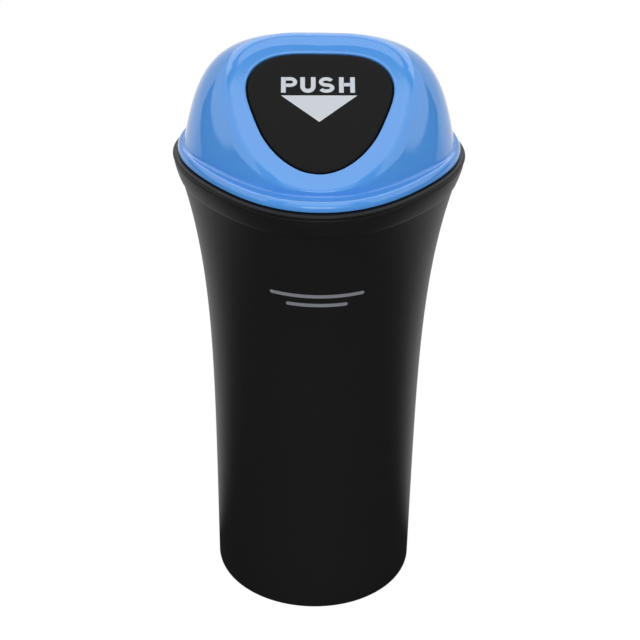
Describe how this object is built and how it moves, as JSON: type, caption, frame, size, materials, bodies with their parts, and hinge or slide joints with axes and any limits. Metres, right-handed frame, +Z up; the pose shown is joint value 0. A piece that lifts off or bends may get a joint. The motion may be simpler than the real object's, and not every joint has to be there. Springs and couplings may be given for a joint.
{
  "type": "car waste bin",
  "caption": "Small flared waste bin for a car's cup holder, with a pull-off domed lid and a spring-closed push flap in the lid's slanted face.",
  "frame": {"origin": "centre of the foot on the floor", "axes": "+Z up along the bin, the flap faces -Y, X runs across the flap"},
  "size_m": [0.0882, 0.0958, 0.185],
  "materials": {
    "black_plastic": "satin black moulded polypropylene",
    "blue_plastic": "glossy light blue moulding",
    "flap_plastic": "satin black moulding with pale grey print",
    "pin_steel": "drawn steel rod",
    "spring_steel": "drawn spring wire"
  },
  "bodies": {
    "bin": {"bin_body": "black_plastic"},
    "lid": {"lid_shell": "blue_plastic", "hinge_pin": "pin_steel", "return_spring": "spring_steel"},
    "flap": {"push_flap": "flap_plastic"}
  },
  "joints": [
    {"name": "lid_lift", "type": "slide", "parent": "bin", "child": "lid", "axis": [0, 0, 1], "range_m": [0, 0.03]},
    {"name": "flap_push", "type": "hinge", "parent": "lid", "child": "flap", "pos_m": [0, -0.00222, 0.17556], "axis": [1, 0, 0], "range_deg": [0, 60], "stiffness_Nm_per_rad": 0.006, "springref_deg": -68.75, "deforming": ["return_spring"]}
  ]
}
